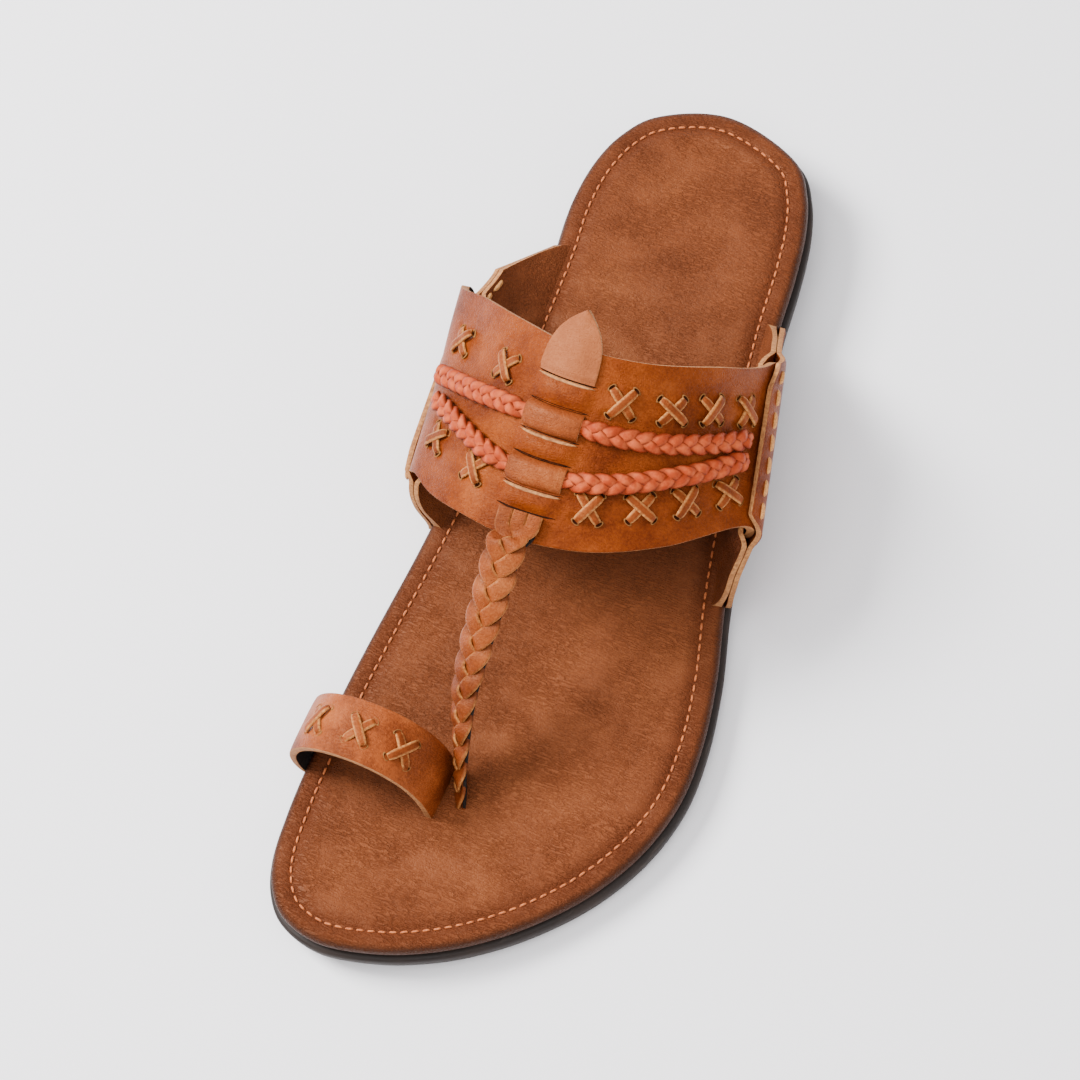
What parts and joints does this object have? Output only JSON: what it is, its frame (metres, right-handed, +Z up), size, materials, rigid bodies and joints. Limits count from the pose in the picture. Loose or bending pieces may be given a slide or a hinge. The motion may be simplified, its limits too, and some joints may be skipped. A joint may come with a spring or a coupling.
{
  "type": "kolhapuri sandal",
  "caption": "Flat leather slip-on sandal with an instep band between side ears, a woven centre strip that turns into a braid to the toe post, plaited cords and a big-toe loop.",
  "frame": {"origin": "on the floor under the middle of the whole sandal's box", "axes": "+Z up, the heel towards +Y and the toe towards -Y, the lateral side towards +X"},
  "size_m": [0.103, 0.2522, 0.0793],
  "materials": {
    "tan_leather": "burnished tan leather with a soft sheen",
    "dark_rubber": "matte dark brown moulded sole",
    "coral_plait": "coral plaited cord, semi-matte"
  },
  "bodies": {
    "root": {"outsole": "dark_rubber", "heel": "dark_rubber", "footbed": "tan_leather", "ear_outer_medial": "tan_leather", "ear_outer_lateral": "tan_leather", "upper": "tan_leather", "toe_loop": "tan_leather", "cord_upper": "coral_plait", "cord_lower": "coral_plait"}
  },
  "joints": []
}
